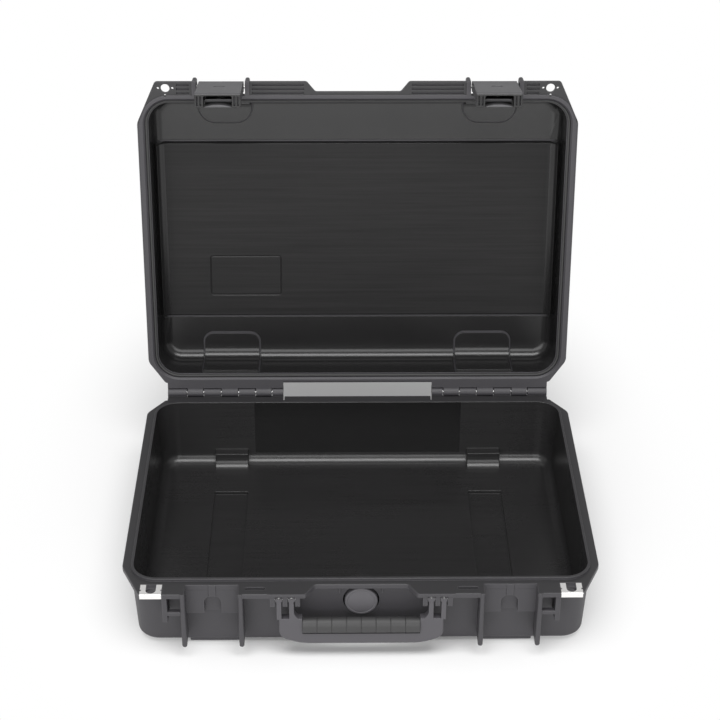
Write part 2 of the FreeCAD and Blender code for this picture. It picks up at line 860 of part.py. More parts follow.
def padlock_plate():
    """Steel strip bent over the front edge of the flange, notched round the eye."""
    x0 = eye_x - clip_width / 2
    x1 = eye_x + clip_width / 2
    back = front_edge + clip_length
    low = flange_low - past
    high = part_z + past
    clip = block(x0, x1, front_edge, back, flange_low, part_z)
    clip = round_edges(clip, clip_bend, X_AXIS, lambda c: c.y < front_edge + near)
    fold = block(x0 - past, x1 + past, front_edge + clip_thickness, back + past,
                 flange_low + clip_thickness, part_z - clip_thickness)
    notch = rod_z(eye_x, eye_y, low, high, clip_notch_radius)
    throat = block(eye_x - clip_notch_radius, eye_x + clip_notch_radius, eye_y, back + past, low, high)
    nicks = [block(x - clip_nick, x + clip_nick, eye_y - clip_nick, eye_y + clip_nick, low, high)
             for x in (x0, x1)]
    return clip.cut([fold, notch, throat] + nicks)


def latch_pin():
    reach = rib_half + rib_thickness / 2 - hinge_pin_inset
    return rod_x(latch_x - reach, latch_x + reach, latch_pivot_y, latch_pivot_z, latch_pin_radius)


def latch_lever():
    """A plate with two arms, hung on the latch pin by a boss across its top."""
    half = latch_width / 2
    x0 = latch_x - half
    x1 = latch_x + half
    low = part_z - latch_drop
    body = block(x0, x1, latch_out, latch_in, low, latch_pivot_z)
    body = round_edges(body, latch_plate, X_AXIS, lambda c: c.y < latch_out + near)
    body = round_edges(body, edge_round, Z_AXIS, lambda c: c.y < latch_out + near)
    boss = rod_x(x0, x1, latch_pivot_y, latch_pivot_z, latch_boss_radius)
    toes = block(x0, x1, latch_in - overlap, apron_y + hook_bite, low, part_z - apron_drop - toe_gap)
    body = body.fuse([boss, toes])
    cavity_half = half - latch_arm_width
    cavity = block(latch_x - cavity_half, latch_x + cavity_half,
                   latch_out + latch_plate, apron_y + overlap, low - past, part_z + rim_gap)
    cavity = round_edges(cavity, window_round, Z_AXIS, lambda c: c.y < latch_in)
    oval = Part.Ellipse(V(latch_x, latch_out - past, part_z - oval_drop), oval_length / 2, oval_height / 2)
    oval.Axis = Y_AXIS
    oval_face = Part.Face(Part.Wire(oval.toShape()))
    imprint = oval_face.extrude(V(0, past + oval_depth, 0))
    pivot = rod_x(x0 - past, x1 + past, latch_pivot_y, latch_pivot_z,
                  latch_pin_radius + running_clearance)
    pin_reach = cavity_half + trigger_pin_hold
    trigger_bore = rod_x(latch_x - pin_reach, latch_x + pin_reach, trigger_pivot_y, trigger_pivot_z,
                         trigger_pin_radius + held_clearance)
    return body.cut([cavity, pivot, trigger_bore, imprint] + arm_slots(low)).removeSplitter()


def arm_slots(low):
    """Slots that core out the free ends of a lever's two arms."""
    slots = []
    arm_middle = latch_width / 2 - latch_arm_width / 2
    for side in (-1, 1):
        for step in (-1, 1):
            middle = latch_x + side * arm_middle + step * arm_slot_pitch / 2
            slots.append(block(middle - arm_slot_width / 2, middle + arm_slot_width / 2,
                               latch_out + arm_slot_margin, apron_y + hook_bite - arm_slot_margin / 2,
                               low - past, low + arm_slot_depth))
    return slots


def trigger_pin():
    reach = latch_width / 2 - latch_arm_width + trigger_pin_hold - held_clearance
    return rod_x(latch_x - reach, latch_x + reach, trigger_pivot_y, trigger_pivot_z, trigger_pin_radius)


def trigger_face():
    """Y of the trigger's outer face, on which its spring presses."""
    return apron_y - trigger_inner_gap - trigger_plate


def latch_trigger():
    """A hooked plate that turns on the trigger pin, with a lip for the fingers."""
    half = latch_width / 2 - latch_arm_width - trigger_side_gap
    x0 = latch_x - half
    x1 = latch_x + half
    outer_y = trigger_face()
    inner_y = apron_y - trigger_inner_gap
    low = part_z - latch_drop + trigger_end_gap
    hook_top = part_z - apron_drop - hook_gap
    nose = apron_y + hook_bite
    plate = block(x0, x1, outer_y, inner_y, hook_top - hook_height, trigger_pivot_z)
    plate = round_edges(plate, edge_round, Z_AXIS, lambda c: c.y < inner_y - near)
    boss = rod_x(x0, x1, trigger_pivot_y, trigger_pivot_z, trigger_boss_radius)
    web = block(x0, x1, trigger_pivot_y, inner_y,
                trigger_pivot_z - trigger_boss_radius, trigger_pivot_z)
    hook = side_prism([(inner_y, hook_top), (nose, hook_top), (nose, hook_top - hook_height / 2),
                       (inner_y, hook_top - hook_height)], x0, x1)
    lip = block(x0, x1, nose - lip_depth, nose, low, hook_top - hook_height / 2)
    lip = lip.common(rod_z(latch_x, nose - lip_depth + lip_arc, low, part_z, lip_arc))
    lip = lip.makeFillet(lip_round, [e for e in lip.Edges if isinstance(e.Curve, Part.Circle)])
    bore = rod_x(x0 - past, x1 + past, trigger_pivot_y, trigger_pivot_z,
                 trigger_pin_radius + running_clearance)
    return joined(plate, [boss, web, hook, lip]).cut(bore).removeSplitter()


def biarc(start, start_way, end, end_way):
    """Two arcs that leave one point and reach another along given unit directions."""
    gap = end - start
    ways = start_way + end_way
    turn = 2 * (1 - start_way.dot(end_way))
    reach = (-gap.dot(ways) + math.sqrt(gap.dot(ways) ** 2 + turn * gap.dot(gap))) / turn
    first = start + start_way * reach
    second = end - end_way * reach
    middle = (first + second) * 0.5
    arcs = []
    for a, corner, b in ((start, first, middle), (middle, second, end)):
        weight = ((b - a).Length / 2) / reach
        crown = (a + b + corner * (2 * weight)) * (1 / (2 + 2 * weight))
        arcs.append(Part.Arc(a, crown, b).toShape())
    return arcs


def least_gap(spots, quarters):
    """Clear distance between points of the wire that are half a turn or more apart."""
    gaps = []
    for first in range(len(spots)):
        for second in range(first + quarters // 2, len(spots)):
            gaps.append((spots[second] - spots[first]).Length - spring_wire)
    return min(gaps)


def trigger_spring():
    """A wound spring between the lever's plate and the trigger, as one unbroken wire."""
    y0 = latch_out + latch_plate + spring_wire / 2 + spring_seat_gap
    y1 = trigger_face() - spring_wire / 2 - spring_free_gap
    z = part_z - spring_drop
    quarters = 4
    steps = quarters * spring_turns
    rise = (y1 - y0) / steps
    spots = []
    ways = []
    for step in range(steps + 1):
        angle = math.radians(360 / quarters * step)
        across = spring_radius * math.cos(angle)
        upward = spring_radius * math.sin(angle)
        spots.append(V(latch_x + across, y0 + rise * step, z + upward))
        ways.append(V(-upward, rise * quarters / (2 * math.pi), across).normalize())
    edges = []
    for step in range(steps):
        edges += biarc(spots[step], ways[step], spots[step + 1], ways[step + 1])
    path = Part.Wire(edges)
    section = Part.Wire(Part.makeCircle(spring_wire / 2, spots[0], ways[0]))
    print("trigger spring: least gap between turns", round(least_gap(spots, quarters), 3))
    return path.makePipeShell([section], True, False)


def prong_middles():
    first = comb_inner_x + comb_tooth + comb_space / 2
    return [first, first + comb_tooth + comb_space]


def handle_pin():
    return rod_x(comb_inner_x + hinge_pin_inset, comb_end_x() - hinge_pin_inset,
                 handle_pivot_y, handle_pivot_z, handle_pin_radius)


def handle_frame():
    """A bow with two prongs at each end and a core bar inside the grip."""
    front = handle_pivot_y - handle_thickness / 2
    back = handle_pivot_y + handle_thickness / 2
    right = [
        (yoke_inner_x, part_z - grip_bottom),
        (yoke_inner_x, part_z - yoke_top),
        (handle_half_width, part_z - yoke_top),
        (handle_half_width, part_z - handle_corner_drop),
        (handle_bottom_half, part_z - handle_bottom),
    ]
    left = [(-x, z) for x, z in reversed(right)]
    bow = front_prism(right + left, front, back)
    bow = round_edges(bow, handle_corner_round, Y_AXIS, lambda c: abs(c.x) > handle_half_width - near
                      and c.z < part_z - grip_bottom)
    bow = round_edges(bow, handle_bottom_round, Y_AXIS, lambda c: c.z < part_z - handle_bottom + near)
    bow = round_edges(bow, handle_edge, X_AXIS, lambda c: c.z < part_z - handle_bottom + near)
    core_middle = part_z - (grip_top + grip_bottom) / 2
    core = block(-yoke_inner_x, yoke_inner_x,
                 handle_pivot_y - core_thickness / 2, handle_pivot_y + core_thickness / 2,
                 core_middle - core_height / 2, core_middle + core_height / 2)
    prongs = []
    bores = []
    for middle in prong_middles():
        x0 = middle - prong_width / 2
        x1 = middle + prong_width / 2
        hub = comb_space / 2 - prong_hub_gap
        prongs.append(rod_x(middle - hub, middle + hub, handle_pivot_y, handle_pivot_z, prong_radius))
        prongs.append(block(x0, x1, handle_pivot_y - prong_radius, handle_pivot_y + prong_radius,
                            part_z - yoke_top - past, handle_pivot_z))
        bores.append(rod_x(middle - hub - past, middle + hub + past, handle_pivot_y, handle_pivot_z,
                           handle_pin_radius + running_clearance))
        bores.append(Part.makeCylinder(prong_hole_radius, 2 * prong_radius,
                                       V(middle, handle_pivot_y, handle_pivot_z), V(0, -1, 1)))
    web_x = prong_middles()[0] - prong_width / 2
    web_top = part_z - grip_top + bow_round
    web = block(yoke_inner_x, web_x + overlap, front, back, part_z - yoke_top - past, web_top)
    scoop = Part.makeCylinder(bow_round, handle_thickness + 2 * past,
                              V(web_x - bow_round, front - past, web_top), Y_AXIS)
    solids = [core] + both_sides(prongs + [web.cut(scoop)])
    return joined(bow, solids).cut(both_sides(bores))


def handle_grip():
    """A soft sleeve over the core bar, with grooves between the fingers."""
    front = handle_pivot_y - grip_thickness / 2
    back = handle_pivot_y + grip_thickness / 2
    low = part_z - grip_bottom
    high = part_z - grip_top
    sleeve = block(-yoke_inner_x, yoke_inner_x, front, back, low, high)
    sleeve = round_edges(sleeve, grip_round, X_AXIS, lambda c: True)
    inner = block(-yoke_inner_x, yoke_inner_x, front + grip_groove_depth, back - grip_groove_depth,
                  low + grip_groove_depth, high - grip_groove_depth)
    inner = round_edges(inner, grip_round - grip_groove_depth, X_AXIS, lambda c: True)
    skin = sleeve.cut(inner)
    step = 2 * yoke_inner_x / (grip_grooves + 1)
    grooves = []
    for number in range(grip_grooves):
        middle = -yoke_inner_x + step * (number + 1)
        grooves.append(skin.common(block(middle - grip_groove_width / 2, middle + grip_groove_width / 2,
                                         front - past, back + past,
                                         low + grip_groove_depth, high + past)))
    core_middle = (low + high) / 2
    core = block(-yoke_inner_x - past, yoke_inner_x + past,
                 handle_pivot_y - core_thickness / 2, handle_pivot_y + core_thickness / 2,
                 core_middle - core_height / 2, core_middle + core_height / 2)
    return sleeve.cut(grooves + [core])


def vent_flange_back():
    """Y of the stem flange's rear face, which holds the sealing ring against the wall."""
    return pocket_back - 2 * oring_radius


def vent_cap():
    """The round cap in front of the vent, hollow behind, pressed on the stem."""
    front = wall_front - vent_cap_proud
    back = vent_flange_back() - vent_flange_height
    cap = rod_y(front, back, vent_z, vent_cap_radius)
    rim = [e for e in cap.Edges if isinstance(e.Curve, Part.Circle) and e.CenterOfMass.y < front + near]
    cap = cap.makeFillet(vent_cap_round, rim)
    hollow = rod_y(front + wall, back + past, vent_z, vent_cap_radius - wall / 2)
    hollow = hollow.cut(rod_y(front, back + 2 * past, vent_z, vent_stem_radius + wall / 2))
    socket = rod_y(front + wall, back + past, vent_z, vent_stem_radius + held_clearance)
    return cap.cut([hollow, socket])


def vent_stem_front():
    return wall_front - vent_cap_proud + wall


def vent_body():
    """The threaded stem with its flange, bored through for air."""
    flange_back = vent_flange_back()
    end = pocket_back + wall + vent_nut_height + vent_thread_spare
    stem = rod_y(vent_stem_front(), end, vent_z, vent_stem_radius)
    flange = rod_y(flange_back - vent_flange_height, flange_back, vent_z, vent_flange_radius)
    seat = rod_y(end - 2 * membrane_thickness, end + past, vent_z, membrane_radius)
    bore = rod_y(vent_stem_front() + wall, end + past, vent_z, vent_bore_radius)
    return stem.fuse(flange).cut([seat, bore])


def vent_oring():
    ring = Part.makeTorus(oring_ring_radius, oring_radius, ORIGIN, Y_AXIS)
    return ring.translated(V(0, pocket_back - oring_radius, vent_z))


def vent_nut():
    sides = 6
    radius = vent_nut_across / 2 / math.cos(math.pi / sides)
    start = pocket_back + wall
    corners = []
    for corner in range(sides):
        angle = 2 * math.pi * corner / sides
        corners.append(V(radius * math.cos(angle), start, vent_z + radius * math.sin(angle)))
    nut = prism(corners, V(0, vent_nut_height, 0))
    return nut.cut(rod_y(start - past, start + vent_nut_height + past, vent_z,
                         vent_stem_radius + held_clearance))


def vent_membrane():
    end = pocket_back + wall + vent_nut_height + vent_thread_spare
    return rod_y(end - 2 * membrane_thickness, end - membrane_thickness, vent_z, membrane_radius)


def opened_lid(shape):
    turned = shape.copy()
    turned.rotate(V(0, hinge_y, hinge_z), X_AXIS, -open_angle)
    return turned


def swung_latch(shape):
    turned = shape.copy()
    turned.rotate(V(0, latch_pivot_y, latch_pivot_z), X_AXIS, -latch_swing)
    return opened_lid(turned)


def assembly():
    """Every node of the case at rest, by name."""
    nodes = {
        "base_shell": base_shell(),
        "vent_body": vent_body(),
        "vent_oring": vent_oring(),
        "vent_nut": vent_nut(),
        "vent_membrane": vent_membrane(),
        "vent_cap": vent_cap(),
        "handle_frame": handle_frame(),
        "handle_grip": handle_grip(),
        "lid_shell": opened_lid(lid_shell()),
        "lid_gasket": opened_lid(lid_gasket()),
    }
    paired = {
        "padlock_plate": padlock_plate(),
        "hinge_pin": hinge_pin(),
        "handle_pin": handle_pin(),
        "latch_pin": opened_lid(latch_pin()),
        "latch_lever": swung_latch(latch_lever()),
        "trigger_pin": swung_latch(trigger_pin()),
        "latch_trigger": swung_latch(latch_trigger()),
        "trigger_spring": swung_latch(trigger_spring()),
    }
    for name, shape in paired.items():
        nodes[name + "_right"] = shape
        nodes[name + "_left"] = mirrored(shape)
    return nodes


def centred(nodes):
    """Shift the case in Y so that its origin lies below the middle of its box."""
    box = Part.makeCompound(list(nodes.values())).optimalBoundingBox(False, False)
    shift = V(0, -(box.YMin + box.YMax) / 2, 0)
    print("shift in Y", round(shift.y, 4))
    print("box", round(box.XLength, 3), round(box.YLength, 3), round(box.ZLength, 3))
    return {name: shape.translated(shift) for name, shape in nodes.items()}


os.makedirs("parts", exist_ok=True)
for node_name, node_shape in centred(assembly()).items():
    print(node_name, len(node_shape.Solids), node_shape.isValid(), round(node_shape.Volume / 1000, 2))
    node_shape.exportStep("parts/" + node_name + ".step")
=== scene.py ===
# %% [markdown]
# # A moulded hard case, dressed for a studio picture
# The case is a tub and a lid of injection-moulded plastic with a few steel and rubber pieces.
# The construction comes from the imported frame, in metres, and this lesson gives every surface
# its finish, rounds the moulded edges, models the soft pieces and sets up the studio.

# %% Load the frame
import bpy
import json
import math
from mathutils import Matrix, Vector


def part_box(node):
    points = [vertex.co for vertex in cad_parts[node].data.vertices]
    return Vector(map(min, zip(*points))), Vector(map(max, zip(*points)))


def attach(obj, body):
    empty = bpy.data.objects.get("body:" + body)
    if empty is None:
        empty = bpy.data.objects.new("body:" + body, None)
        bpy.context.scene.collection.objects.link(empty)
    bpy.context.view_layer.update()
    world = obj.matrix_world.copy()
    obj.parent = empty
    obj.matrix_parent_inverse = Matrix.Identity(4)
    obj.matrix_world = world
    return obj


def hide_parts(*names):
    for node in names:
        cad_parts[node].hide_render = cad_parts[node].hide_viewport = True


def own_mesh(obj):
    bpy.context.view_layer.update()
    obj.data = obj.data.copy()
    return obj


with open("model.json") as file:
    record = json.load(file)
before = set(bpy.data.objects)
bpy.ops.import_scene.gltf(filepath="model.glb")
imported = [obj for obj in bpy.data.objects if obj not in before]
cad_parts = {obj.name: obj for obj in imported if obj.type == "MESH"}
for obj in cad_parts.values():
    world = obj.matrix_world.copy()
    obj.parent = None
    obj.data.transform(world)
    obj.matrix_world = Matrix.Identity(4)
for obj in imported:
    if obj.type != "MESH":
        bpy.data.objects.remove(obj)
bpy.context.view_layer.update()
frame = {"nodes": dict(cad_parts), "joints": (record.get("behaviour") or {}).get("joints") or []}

MM = 0.001
nodes = frame["nodes"]
joints = {joint["name"]: joint for joint in frame["joints"]}
print("nodes in the frame:", len(nodes))

# %% [markdown]
# ## Where things are
# A few sizes of the case are repeated here from its drawing. The lid hinge is read from the
# frame. The lid rests open, so a piece of the lid is modelled flat, as on the closed case, and
# then swung about the hinge by the angle of its range. A piece of a latch is first turned about
# the latch's own pivot.

# %% Sizes that the pieces share
opening_width = 470 * MM
opening_depth = 330 * MM
opening_corner = 25 * MM
hinge_to_middle = 188 * MM
hinge_rise = 3 * MM
latch_middle_x = 152.5 * MM
hinge = Vector(joints["lid_hinge"]["pos_m"])
open_angle = math.radians(joints["lid_hinge"]["range_deg"][1])
latch_swing = math.radians(-joints["latch_swing_left"]["range_deg"][0])
middle_y = hinge.y - hinge_to_middle
rim_z = hinge.z - hinge_rise


def turn_about(point, angle):
    """A turn about a line through a point, along X."""
    return Matrix.Translation(point) @ Matrix.Rotation(angle, 4, "X") @ Matrix.Translation(-point)


lid_swing = turn_about(hinge, -open_angle)
lid_closed = lid_swing.inverted()
latch_rest = {}
for side in ("left", "right"):
    latch_pivot = lid_closed @ Vector(joints["latch_swing_" + side]["pos_m"])
    latch_rest[side] = lid_swing @ turn_about(latch_pivot, -latch_swing)
print("middle of the opening:", round(middle_y, 4), "rim height:", round(rim_z, 4))

# %% [markdown]
# ## Small modelling helpers
# Operators act on whatever is selected, so each helper clears the selection first and then
# works on one object. Edges and faces are chosen in code, by their place.

# %% Helpers for selecting and finishing


def fresh():
    """Go back to object mode and deselect everything."""
    if bpy.context.mode != "OBJECT":
        bpy.ops.object.mode_set(mode="OBJECT")
    bpy.ops.object.select_all(action="DESELECT")


def only(piece):
    """Select one object alone and make it the active one."""
    fresh()
    piece.hide_viewport = False
    piece.select_set(True)
    bpy.context.view_layer.objects.active = piece


def named(name):
    """Name the object that an operator has just added."""
    piece = bpy.context.object
    piece.name = name
    piece.data.name = name
    return piece


def pick(piece, kind, wanted):
    """In edit mode, select the edges or faces whose middle is wanted."""
    bpy.ops.mesh.select_mode(type=kind)
    bpy.ops.mesh.select_all(action="DESELECT")
    bpy.ops.object.mode_set(mode="OBJECT")
    mesh = piece.data
    count = 0
    if kind == "FACE":
        for face in mesh.polygons:
            face.select = wanted(face.center, face.normal)
            count += face.select
    else:
        for edge in mesh.edges:
            a, b = (mesh.vertices[v].co for v in edge.vertices)
            edge.select = wanted((a + b) / 2, (b - a).normalized())
            count += edge.select
    bpy.ops.object.mode_set(mode="EDIT")
    return count


def apply_all(piece):
    """Apply the object's place and then every modifier."""
    only(piece)
    bpy.ops.object.transform_apply(location=True, rotation=True, scale=True)
    for modifier in list(piece.modifiers):
        bpy.ops.object.modifier_apply(modifier=modifier.name)


def smooth(piece, angle=35):
    """Smooth shading in which the large flat faces stay flat."""
    only(piece)
    bpy.ops.object.shade_smooth_by_angle(angle=math.radians(angle))
    weights = piece.modifiers.new("flat_faces", "WEIGHTED_NORMAL")
    weights.keep_sharp = True
    bpy.ops.object.modifier_apply(modifier=weights.name)


def place(piece, matrix):
    """Move the mesh itself, so that the object stays at the origin."""
    piece.matrix_world = matrix @ piece.matrix_world
    apply_all(piece)


def paint(piece, material, wanted, whole=True):
    """Give another finish to the faces whose middle, or every corner of them, is wanted."""
    piece.data.materials.append(material)
    place_in_list = len(piece.data.materials) - 1
    corners = piece.data.vertices
    count = 0
    for face in piece.data.polygons:
        spots = [corners[v].co for v in face.vertices] if whole else [face.center]
        if all(wanted(spot, face.normal) for spot in spots):
            face.material_index = place_in_list
            count += 1
    print(piece.name, material.name, "faces:", count)


def dress(piece, material, body, slot, *stands_for):
    """Give a piece its finish, the body that it moves with and the nodes that it replaces."""
    piece.data.materials.clear()
    piece.data.materials.append(material)
    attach(piece, body)
    if stands_for:
        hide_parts(*stands_for)
    print(piece.name, "faces:", len(piece.data.polygons))


# %% [markdown]
# ## Camera
# The picture was taken from a little above, almost straight in front, with a long lens. A camera
# could be moved about until the view looks right. Here it follows from a point that it looks at,
# a distance and three angles, because these few numbers can be fitted to edges of the case.

# %% Camera
look_at = Vector((0.1, -46.28, 246.4)) * MM
camera_distance = 1888.87 * MM
camera_elevation = math.radians(31.39)
camera_yaw = math.radians(0.82)
camera_roll = math.radians(0.26)
camera_lens = 89.45
camera_sensor = 36.0
camera_far = 50.0

forward = Vector((math.sin(camera_yaw) * math.cos(camera_elevation),
                  math.cos(camera_yaw) * math.cos(camera_elevation),
                  -math.sin(camera_elevation)))
bpy.ops.object.camera_add(location=look_at - forward * camera_distance)
camera = bpy.context.object
camera.rotation_mode = "QUATERNION"
camera.rotation_quaternion = (forward.to_track_quat("-Z", "Y")
                              @ Matrix.Rotation(camera_roll, 3, "Z").to_quaternion())
camera.data.lens = camera_lens
camera.data.sensor_width = camera_sensor
camera.data.clip_end = camera_far
bpy.context.scene.camera = camera
print("camera at", [round(v, 3) for v in camera.location])

# %% [markdown]
# ## Node tools
# A finish is a tree of nodes. It could be wired by hand in the shader editor. In code the same
# few steps come back many times, so small helpers add a node, set its values and link it.

# %% Helpers for nodes


def add(tree, kind, **values):
    """A new node with some of its settings."""
    node = tree.nodes.new(kind)
    for key, value in values.items():
        setattr(node, key, value)
    return node


def feed(tree, node, values):
    """Link a socket, or write a plain value, into each given input of a node."""
    for label, value in values.items():
        if isinstance(value, bpy.types.NodeSocket):
            tree.links.new(value, node.inputs[label])
        else:
            node.inputs[label].default_value = value
    return node


def math_node(tree, operation, *values):
    """The result of a Math node that takes sockets or plain numbers."""
    node = add(tree, "ShaderNodeMath", operation=operation)
    return feed(tree, node, dict(enumerate(values))).outputs["Value"]


def vector_node(tree, operation, *values):
    """The outputs of a Vector Math node that takes sockets or plain vectors."""
    node = add(tree, "ShaderNodeVectorMath", operation=operation)
    return feed(tree, node, dict(enumerate(values))).outputs


def object_spots(tree):
    """The Object coordinates, in which a pattern stays with its piece."""
    return add(tree, "ShaderNodeTexCoord").outputs["Object"]


def noise(tree, spots, scale, detail=2.0, roughness=0.5):
    """A noise from 0 to 1 at the given spots."""
    node = add(tree, "ShaderNodeTexNoise")
    feed(tree, node, {"Vector": spots, "Scale": scale, "Detail": detail, "Roughness": roughness})
    return node.outputs["Fac"]


# %% [markdown]
# ## Studio
# A white sweep of paper and large soft lamps give the plain product picture. Near the case the
# paper only takes the lamps' light, so the soft shadow shows. Further out it also glows for the
# camera and for reflections, which keeps it white without more light on the object. The lid
# stands behind the tub and takes more light away there, so that shadow reaches further back.

# %% Floor
floor_size = 14.0
floor_sides = 96
shadow_reach = 0.21
white_from = 0.44
least_glow = 0.04
shade_stretch = 0.4
paper_white = (0.88, 0.88, 0.88, 1)


def studio_paper():
    """Matte paper that glows, away from the case, for the camera and for reflections."""
    material = bpy.data.materials.new("studio_paper")
    material.use_nodes = True
    tree = material.node_tree
    tree.nodes.clear()
    spots = object_spots(tree)
    behind = vector_node(tree, "MAXIMUM", spots, (0, 0, 0))["Vector"]
    pulled = vector_node(tree, "MULTIPLY", behind, (0, shade_stretch, 0))["Vector"]
    nearer = vector_node(tree, "SUBTRACT", spots, pulled)["Vector"]
    fade = add(tree, "ShaderNodeMapRange", interpolation_type="SMOOTHSTEP")
    feed(tree, fade, {"Value": vector_node(tree, "LENGTH", nearer)["Value"],
                      "From Min": shadow_reach, "From Max": white_from, "To Min": least_glow})
    ray = add(tree, "ShaderNodeLightPath").outputs
    seen = math_node(tree, "MAXIMUM", ray["Is Camera Ray"], ray["Is Glossy Ray"])
    share = math_node(tree, "MULTIPLY", seen, fade.outputs["Result"])
    matte = feed(tree, add(tree, "ShaderNodeBsdfDiffuse"), {"Color": paper_white})
    glow = feed(tree, add(tree, "ShaderNodeEmission"), {"Strength": 1.0})
    mix = feed(tree, add(tree, "ShaderNodeMixShader"),
               {0: share, 1: matte.outputs["BSDF"], 2: glow.outputs["Emission"]})
    feed(tree, add(tree, "ShaderNodeOutputMaterial"), {"Surface": mix.outputs["Shader"]})
    return material


bpy.ops.mesh.primitive_circle_add(vertices=floor_sides, radius=floor_size / 2, fill_type="NGON")
floor = named("studio_floor")
floor.data.materials.append(studio_paper())
print("floor:", floor_size, "m across")

# %% Lamps and world
lamp_aim = Vector((0, 0, 0.15))
world_strength = 0.5


def soft_lamp(name, spot, width, height, watts):
    """A large rectangular lamp that points at the case."""
    bpy.ops.object.light_add(type="AREA", location=spot)
    lamp = bpy.context.object
    lamp.name = name
    lamp.rotation_mode = "QUATERNION"
    lamp.rotation_quaternion = (lamp_aim - Vector(spot)).to_track_quat("-Z", "Y")
    lamp.data.shape = "RECTANGLE"
    lamp.data.size = width
    lamp.data.size_y = height
    lamp.data.energy = watts
    print(name, watts, "W")


soft_lamp("key_lamp", (0.0, -0.75, 1.9), width=1.8, height=0.8, watts=30)
soft_lamp("fill_lamp", (-0.4, -3.0, 0.9), width=3.2, height=1.6, watts=44)
world = bpy.data.worlds.new("studio_world")
world.use_nodes = True
feed(world.node_tree, world.node_tree.nodes["Background"],
     {"Color": (1, 1, 1, 1), "Strength": world_strength})
bpy.context.scene.world = world
bpy.context.scene.view_settings.view_transform = "Standard"

# %% [markdown]
# ## Shared effects
# Moulded plastic has a fine grain from the spark-eroded mould, faint flow streaks where the
# melt ran, rubbed edges and duller grooves. An effect could be wired anew in each finish. Each
# is one node group instead, built once and used by several finishes with other values.

# %% A new node group


def new_group(name, inputs, outputs):
    """An empty shader node group with named sockets."""
    group = bpy.data.node_groups.new(name, "ShaderNodeTree")
    for label, kind, value in inputs:
        socket = group.interface.new_socket(label, in_out="INPUT", socket_type=kind)
        socket.default_value = value
    for label in outputs:
        group.interface.new_socket(label, in_out="OUTPUT", socket_type="NodeSocketFloat")
    start = group.nodes.new("NodeGroupInput")
    end = group.nodes.new("NodeGroupOutput")
    return group, start.outputs, end


# %% Grain and streaks
broad_scale = 14.0
broad_share = 0.7
streak_stretch = (0.02, 1.0, 1.0)
streak_from = 0.35
streak_to = 0.7


def grain_group():
    """Fine pitted grain: a height for bump and a small change of gloss."""
    group, given, end = new_group(
        "mould_grain", [("Scale", "NodeSocketFloat", 900.0)], ["Height", "Gloss"])
    spots = object_spots(group)
    fine = noise(group, spots, given["Scale"], detail=3.0, roughness=0.6)
    broad = noise(group, spots, broad_scale, detail=4.0)
    gloss = math_node(group, "ADD", math_node(group, "MULTIPLY", broad, broad_share),
                      math_node(group, "MULTIPLY", fine, 1 - broad_share))
    feed(group, end, {"Height": fine, "Gloss": gloss})
    return group


def streak_group():
    """Flow streaks that run along X: a mask from 0 to 1."""
    group, given, end = new_group(
        "flow_streaks", [("Fineness", "NodeSocketFloat", 260.0)], ["Streak"])
    stretch = feed(group, add(group, "ShaderNodeMapping"),
                   {"Vector": object_spots(group), "Scale": streak_stretch})
    lines = noise(group, stretch.outputs["Vector"], given["Fineness"], detail=5.0, roughness=0.7)
    sharp = feed(group, add(group, "ShaderNodeMapRange"),
                 {"Value": lines, "From Min": streak_from, "From Max": streak_to})
    feed(group, end, {"Streak": sharp.outputs["Result"]})
    return group


mould_grain = grain_group()
flow_streaks = streak_group()
print("effect groups:", [group.name for group in bpy.data.node_groups])

# %% Edges and grooves
look_rays = 8
rub_scale = 60.0


def rub_group():
    """Rubbed edges and corners: a mask that grows on sharp convex edges."""
    group, given, end = new_group(
        "rubbed_edges", [("Reach", "NodeSocketFloat", 1.5 * MM)], ["Edge"])
    inside = feed(group, add(group, "ShaderNodeAmbientOcclusion", inside=True, samples=look_rays),
                  {"Distance": given["Reach"]})
    open_part = math_node(group, "SUBTRACT", 1.0, inside.outputs["AO"])
    patches = noise(group, object_spots(group), rub_scale)
    feed(group, end, {"Edge": math_node(group, "MULTIPLY", open_part, patches)})
    return group


def groove_group():
    """Narrow grooves and inner corners: a mask that grows where a surface is closed in."""
    group, given, end = new_group(
        "groove_shade", [("Reach", "NodeSocketFloat", 2 * MM)], ["Groove"])
    closed_in = feed(group, add(group, "ShaderNodeAmbientOcclusion", samples=look_rays),
                     {"Distance": given["Reach"]})
    feed(group, end, {"Groove": math_node(group, "SUBTRACT", 1.0, closed_in.outputs["AO"])})
    return group


rubbed_edges = rub_group()
groove_shade = groove_group()
print("effect groups:", [group.name for group in bpy.data.node_groups])

# %% Polished patch and round marks


def parts_of(tree, spots):
    """The X, Y and Z of some spots."""
    return feed(tree, add(tree, "ShaderNodeSeparateXYZ"), {"Vector": spots}).outputs


def patch_group():
    """A polished patch of the mould: 1 inside a band of X and beyond a place in Y."""
    group, given, end = new_group(
        "polished_patch",
        [("Half width", "NodeSocketFloat", 0.1), ("Beyond", "NodeSocketFloat", 0.0)], ["Patch"])
    parts = parts_of(group, object_spots(group))
    across = math_node(group, "ABSOLUTE", parts["X"])
    inside = math_node(group, "LESS_THAN", across, given["Half width"])
    behind = math_node(group, "GREATER_THAN", parts["Y"], given["Beyond"])
    feed(group, end, {"Patch": math_node(group, "MULTIPLY", inside, behind)})
    return group


